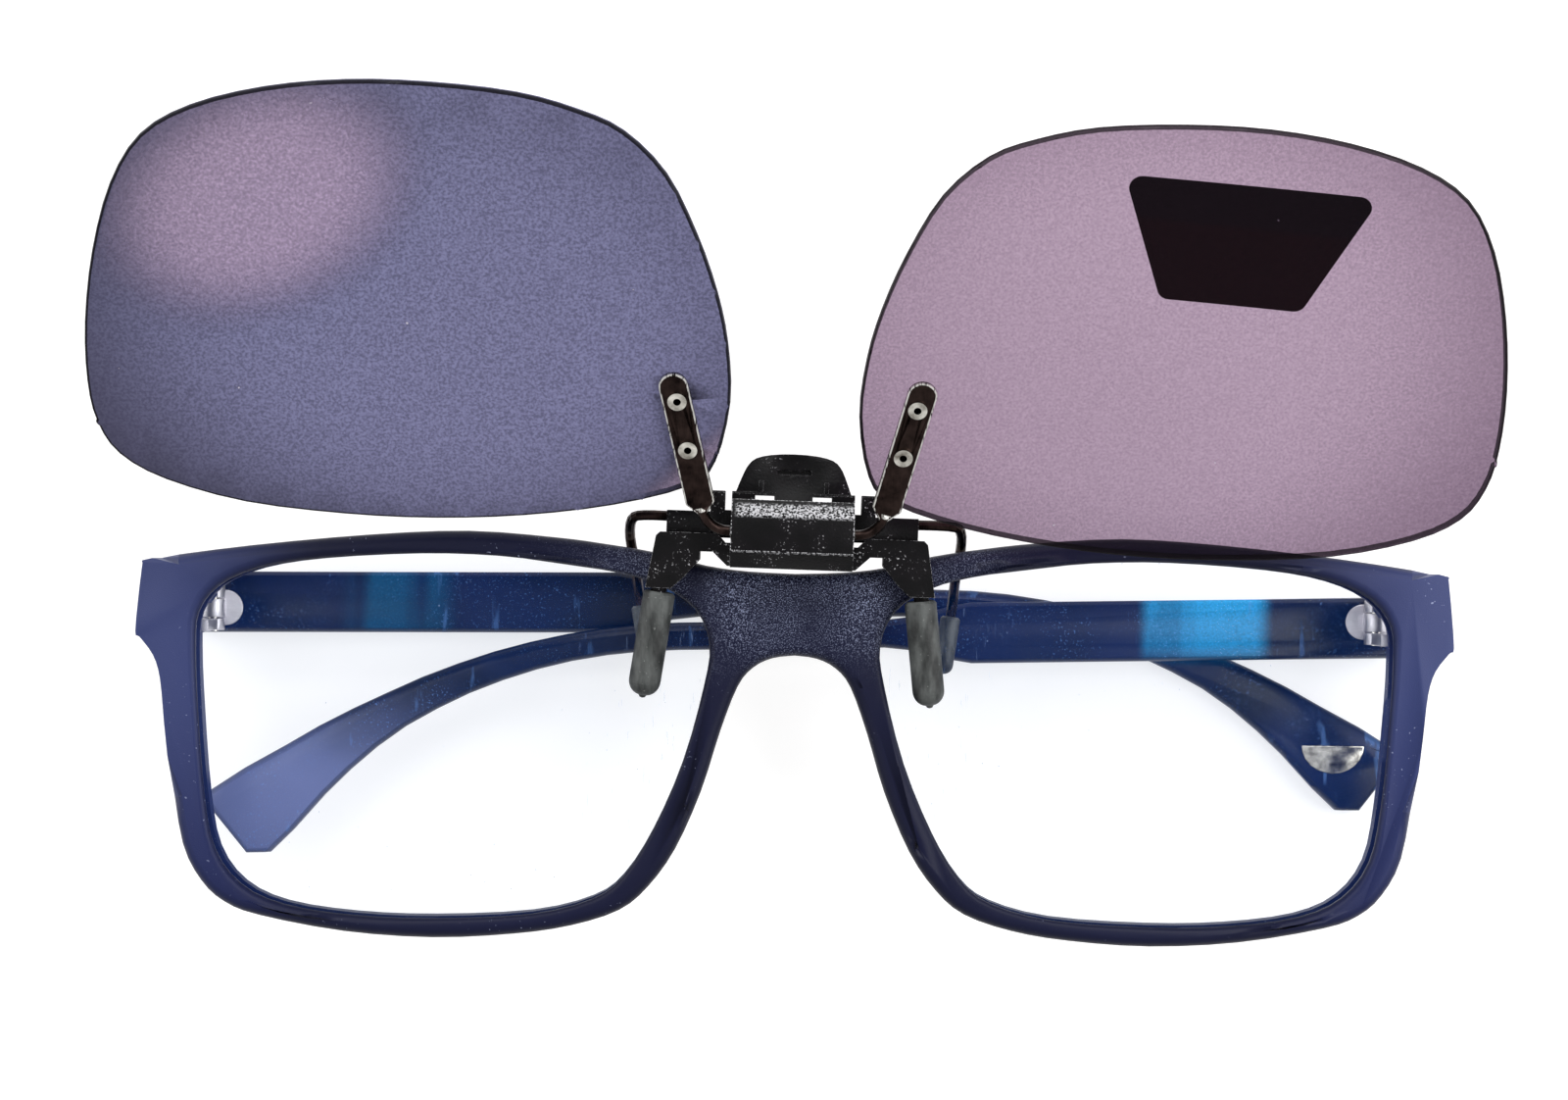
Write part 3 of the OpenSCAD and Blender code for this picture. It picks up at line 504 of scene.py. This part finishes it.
def pick(piece):
    """Makes a piece the only one that the next tools work on."""
    bpy.ops.object.select_all(action="DESELECT")
    piece.select_set(True)
    bpy.context.view_layer.objects.active = piece


def beside(mesh):
    """The faces on the two sides of each edge, by the edge's key."""
    sides = {}
    for face in mesh.polygons:
        for key in face.edge_keys:
            sides.setdefault(key, []).append(face)
    return sides


def crown(piece, width, pockets):
    """Rounds the edges all round the upper face by width metres, away from the pockets in it."""
    mesh = piece.data
    sides = beside(mesh)
    tops = [corner.co for corner in mesh.vertices]
    weights = mesh.attributes.new("bevel_weight_edge", "FLOAT", "EDGE")
    for edge in mesh.edges:
        faces = sorted(sides.get(edge.key, []), key=lambda face: face.normal.z)
        if len(faces) != 2 or faces[1].normal.z < TOP_LEAN or faces[0].normal.z > WALL_LEAN:
            continue
        middle = (tops[edge.vertices[0]] + tops[edge.vertices[1]]) / 2
        if inside(mesh, edge, pockets):
            continue
        near = [co.z for co in tops if abs(co.x - middle.x) < CROWN_NEAR]
        if middle.z < max(near, default=middle.z) - CROWN_DROP:
            continue
        # a shallow wall, such as the lip in front of a lens, takes a smaller rounding
        wall = [tops[corner].z for corner in faces[0].vertices]
        share = min(1, WALL_SHARE * (max(wall) - min(wall)) / width)
        weights.data[edge.index].value = share * (abs(middle.x) < LUG_X)
    bevel(piece, width, CROWN_STEPS, "WEIGHT")


def inside(mesh, edge, pockets):
    """Says whether an edge lies in one of the pockets as seen from above."""
    x, y, _ = (mesh.vertices[edge.vertices[0]].co + mesh.vertices[edge.vertices[1]].co) / 2
    return any(low.x < x < high.x and low.y < y < high.y for low, high in pockets)


def rims(piece, width, segments, pockets):
    """Rounds only the square edges of a plain sheet or strip, away from the holes in the pockets."""
    mesh = piece.data
    sides = beside(mesh)
    weights = mesh.attributes.new("bevel_weight_edge", "FLOAT", "EDGE")
    for edge in mesh.edges:
        faces = sides.get(edge.key, [])
        if inside(mesh, edge, pockets):
            continue
        if len(faces) == 2 and min(face.area for face in faces) > SLIVER:
            turn = faces[0].normal.angle(faces[1].normal)
            weights.data[edge.index].value = turn > SQUARE_TURN
    bevel(piece, width, segments, "WEIGHT")


def bevel(piece, width, segments, limit):
    """Rounds the edges that turn sharply or carry a weight and gives the new faces material 1."""
    tool = piece.modifiers.new("rounding", "BEVEL")
    tool.width = width
    tool.segments = segments
    tool.limit_method = limit
    tool.angle_limit = SHARP_TURN
    tool.use_clamp_overlap = limit == "ANGLE"
    tool.material = 1
    bpy.ops.object.modifier_apply(modifier=tool.name)


def join_up(gap, turn=None):
    """Joins corners closer than gap, and flat faces where a turn is given."""
    bpy.ops.object.mode_set(mode="EDIT")
    bpy.ops.mesh.select_all(action="SELECT")
    bpy.ops.mesh.remove_doubles(threshold=gap)
    if turn:
        bpy.ops.mesh.dissolve_limited(angle_limit=turn)
    bpy.ops.object.mode_set(mode="OBJECT")


def soften(node, width, segments, crown_width=0, pockets=()):
    """Shows a CAD node with its sharp edges rounded by width millimetres."""
    plain = node.startswith(PLAIN)
    piece = set_off(NODES[node], node + "_soft")
    pick(piece)
    join_up(SAME_CORNER, None if plain else FLAT_TURN)
    # the rounding is marked on its faces by a second material that goes again
    for _ in range(2):
        piece.data.materials.append(None)
    pockets = [reach(NODES[name]) for name in pockets]
    if crown_width:
        crown(piece, crown_width * MM, pockets)
    if plain:
        rims(piece, width * MM, segments, pockets)
    else:
        bevel(piece, width * MM, segments, "ANGLE")
    join_up(SAME_ROUNDED)
    bpy.ops.object.shade_smooth_by_angle(angle=SHARP_TURN)
    faces = piece.data.polygons
    if crown_width:
        # the wide rounding fades out of the mark where it turns into the upper face
        marks = [face.material_index * min(1, FADE_TOP - face.normal.z) for face in faces]
    else:
        marks = [face.material_index for face in faces]
    # the mark tells the materials where the rounded edges take painted shade, painted highlight or
    # wear
    put_mark(piece, "edge", marks)
    return shown_as(piece, node)


def reach(piece):
    """Lowest and highest corner of a piece, a millimetre out."""
    corners = [corner.co for corner in piece.data.vertices]
    low = Vector(min(co[axis] for co in corners) - MM for axis in range(3))
    high = Vector(max(co[axis] for co in corners) + MM for axis in range(3))
    return low, high


def put_mark(piece, name, numbers):
    """Writes a number on each face of a piece."""
    marks = piece.data.attributes.new(name, "FLOAT", "FACE")
    for mark, number in zip(marks.data, numbers):
        mark.value = number


def shown_as(piece, node):
    """Shows the piece in the place of a CAD node."""
    piece.data.polygons.foreach_set("material_index", [0] * len(piece.data.polygons))
    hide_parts(node)
    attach(piece, BODY[node])
    return piece


def eyelets(node):
    """Shows a pair of tubular rivets with the inside of each hollow marked for painted shade."""
    piece = set_off(NODES[node], node + "_eyelets")
    faces = piece.data.polygons
    corners = [corner.co for corner in piece.data.vertices]
    along = max(faces, key=lambda face: face.area).normal.copy()
    middles = []
    for near in (True, False):
        own = [co for co in corners if ((co - corners[0]).length < RIVET_SPAN) == near]
        middles.append(sum(own, Vector()) / len(own))
    # how far each corner lies from the line through the nearer rivet
    out = [min((co - middle).cross(along).length for middle in middles) for co in corners]
    bore = min(out) * BORE_EASE
    marks = [int(max(out[corner] for corner in face.vertices) < bore) for face in faces]
    put_mark(piece, "bore", marks)
    return shown_as(piece, node)


def dress(piece, material):
    """Gives a piece its one material."""
    piece.data.materials.clear()
    piece.data.materials.append(material)


def camera():
    """Looks straight down from the height that the perspective of the picture gives."""
    data = bpy.data.cameras.new("camera")
    data.sensor_width = 36
    data.lens = 58.05
    obj = bpy.data.objects.new("camera", data)
    obj.location = (-0.00125, -0.00085, 0.2825)
    obj.rotation_euler = (0, 0, math.radians(0.74))
    data.clip_start = 0.01
    bpy.context.scene.collection.objects.link(obj)
    bpy.context.scene.camera = obj


def lamp(name, place, size, power):
    """Soft box that faces the middle of the glasses."""
    data = bpy.data.lights.new(name, "AREA")
    data.shape = "RECTANGLE"
    data.size, data.size_y = size
    data.energy = power
    obj = bpy.data.objects.new(name, data)
    obj.location = place
    obj.rotation_euler = (-Vector(place)).to_track_quat("-Z", "Y").to_euler()
    bpy.context.scene.collection.objects.link(obj)


def studio():
    """A pale room with three soft boxes, shown white and lighting at a quarter of that."""
    world = bpy.data.worlds.new("studio")
    bpy.context.scene.world = world
    world.use_nodes = True
    sky = Nodes(world.node_tree)
    back = sky.node("ShaderNodeBackground", None, {"Strength": sky.shown() * 0.75 + 0.25})
    sky.node("ShaderNodeOutputWorld", None, {"Surface": back})
    lamp("left_box", (-0.42, 0.12, 0.32), (0.35, 0.5), 1.5)
    lamp("right_box", (0.44, 0.05, 0.34), (0.35, 0.5), 2.3)
    lamp("top_box", (0.05, 0.4, 0.42), (0.6, 0.25), 2.3)
    bpy.context.scene.view_settings.view_transform = "Standard"


def table_top():
    """The table, under the piece and out to where nothing shows its end."""
    bpy.ops.mesh.primitive_plane_add(size=3)
    floor = bpy.context.active_object
    floor.name = "table_top"
    floor.data.materials.append(white_floor())


camera()
studio()
table_top()

MATERIALS = {
    "navy_plastic": navy_plastic(),
    "temple_plastic": temple_plastic(),
    "clear_lens": clear_lens(),
    "tint_left": tint_left(),
    "tint_right": tint_right(),
    "hinge_steel": metal("hinge_steel", srgb(176, 174, 180), srgb(232, 229, 234), 0.34, (1, 6, 1)),
    # on this polished steel the cloudy dark and cream spots are painted reflections
    "bright_steel": metal("bright_steel", srgb(96, 90, 80), srgb(244, 241, 232), 0.14, mottle=900),
    "gunmetal": metal(
        "gunmetal", srgb(6, 5, 5), srgb(58, 46, 43), 0.2, (6, 1, 1),
        glint=srgb(215, 213, 208), mottle=700,
    ),
    "clip_plastic": clip_plastic(),
    "sleeve_rubber": sleeve_rubber(),
    "sticker_film": sticker_film(),
}

# Rounding of each piece's edges in millimetres and its steps, then the rounding round its upper
# face and the pieces whose pockets in that face stay sharp.
ROUNDED = {
    "front_frame": (0.2, 2, 1.1),
    "temple_left": (0.2, 2, 0.6, ("temple_plate_left", "temple_inlay")),
    "temple_right": (0.2, 2, 0.6, ("temple_plate_right", "temple_inlay")),
    "temple_plate_left": (0.1, 2),
    "temple_plate_right": (0.1, 2),
    "temple_inlay": (0.12, 2),
    "clip_housing": (0.16, 2),
    "clip_bracket": (0.2, 2),
    "thumb_lever": (0.18, 2),
    "flip_arm_left": (0.2, 2),
    "flip_arm_right": (0.2, 2),
    "sun_lens_left": (0.32, 2, 0, ("lens_rivets_left",)),
    "sun_lens_right": (0.32, 2, 0, ("lens_rivets_right",)),
    "hinge_leaf_left": (0.08, 2),
    "hinge_leaf_right": (0.08, 2),
}
for name, node in NODES.items():
    if name in ROUNDED:
        shown = soften(name, *ROUNDED[name])
    elif name.startswith("lens_rivets"):
        shown = eyelets(name)
    else:
        shown = node
    dress(shown, MATERIALS[SLOT[name]])
